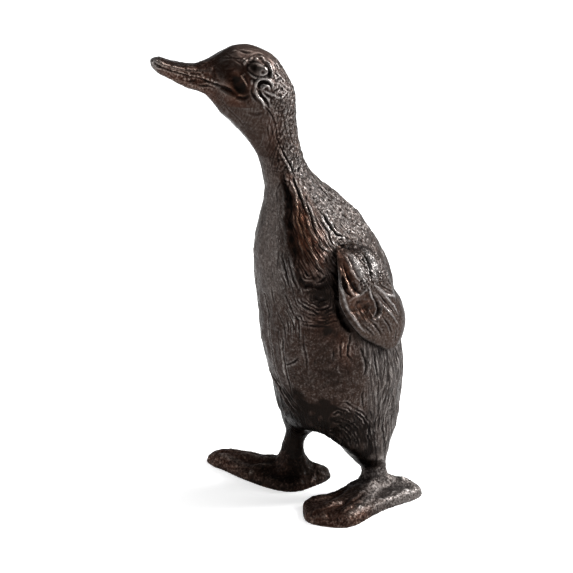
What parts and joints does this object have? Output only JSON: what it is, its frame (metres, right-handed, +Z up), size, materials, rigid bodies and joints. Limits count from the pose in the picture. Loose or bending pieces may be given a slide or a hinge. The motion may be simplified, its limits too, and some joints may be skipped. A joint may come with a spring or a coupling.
{
  "type": "cast iron duckling figurine",
  "caption": "Standing cast iron duckling with turned head, raised bill, folded stub wings and webbed feet, hollow body in bolted halves.",
  "frame": {"origin": "middle of the ornament's bounding box, on the surface that the soles stand on", "axes": "+Z up, the body faces -Y, +X to the duckling's left"},
  "size_m": [0.1194, 0.135, 0.2551],
  "materials": {
    "body_iron": "as cast, dark bronzed patina, waxed",
    "wing_iron": "as cast, dark bronzed patina, waxed",
    "screw_steel": "blackened"
  },
  "bodies": {
    "root": {"left_body_half": "body_iron", "right_body_half": "body_iron", "head_and_neck": "body_iron", "left_wing": "wing_iron", "right_wing": "wing_iron", "upper_body_screw": "screw_steel", "lower_body_screw": "screw_steel", "left_wing_screw": "screw_steel", "right_wing_screw": "screw_steel", "left_wing_washer": "screw_steel", "right_wing_washer": "screw_steel"}
  },
  "joints": []
}
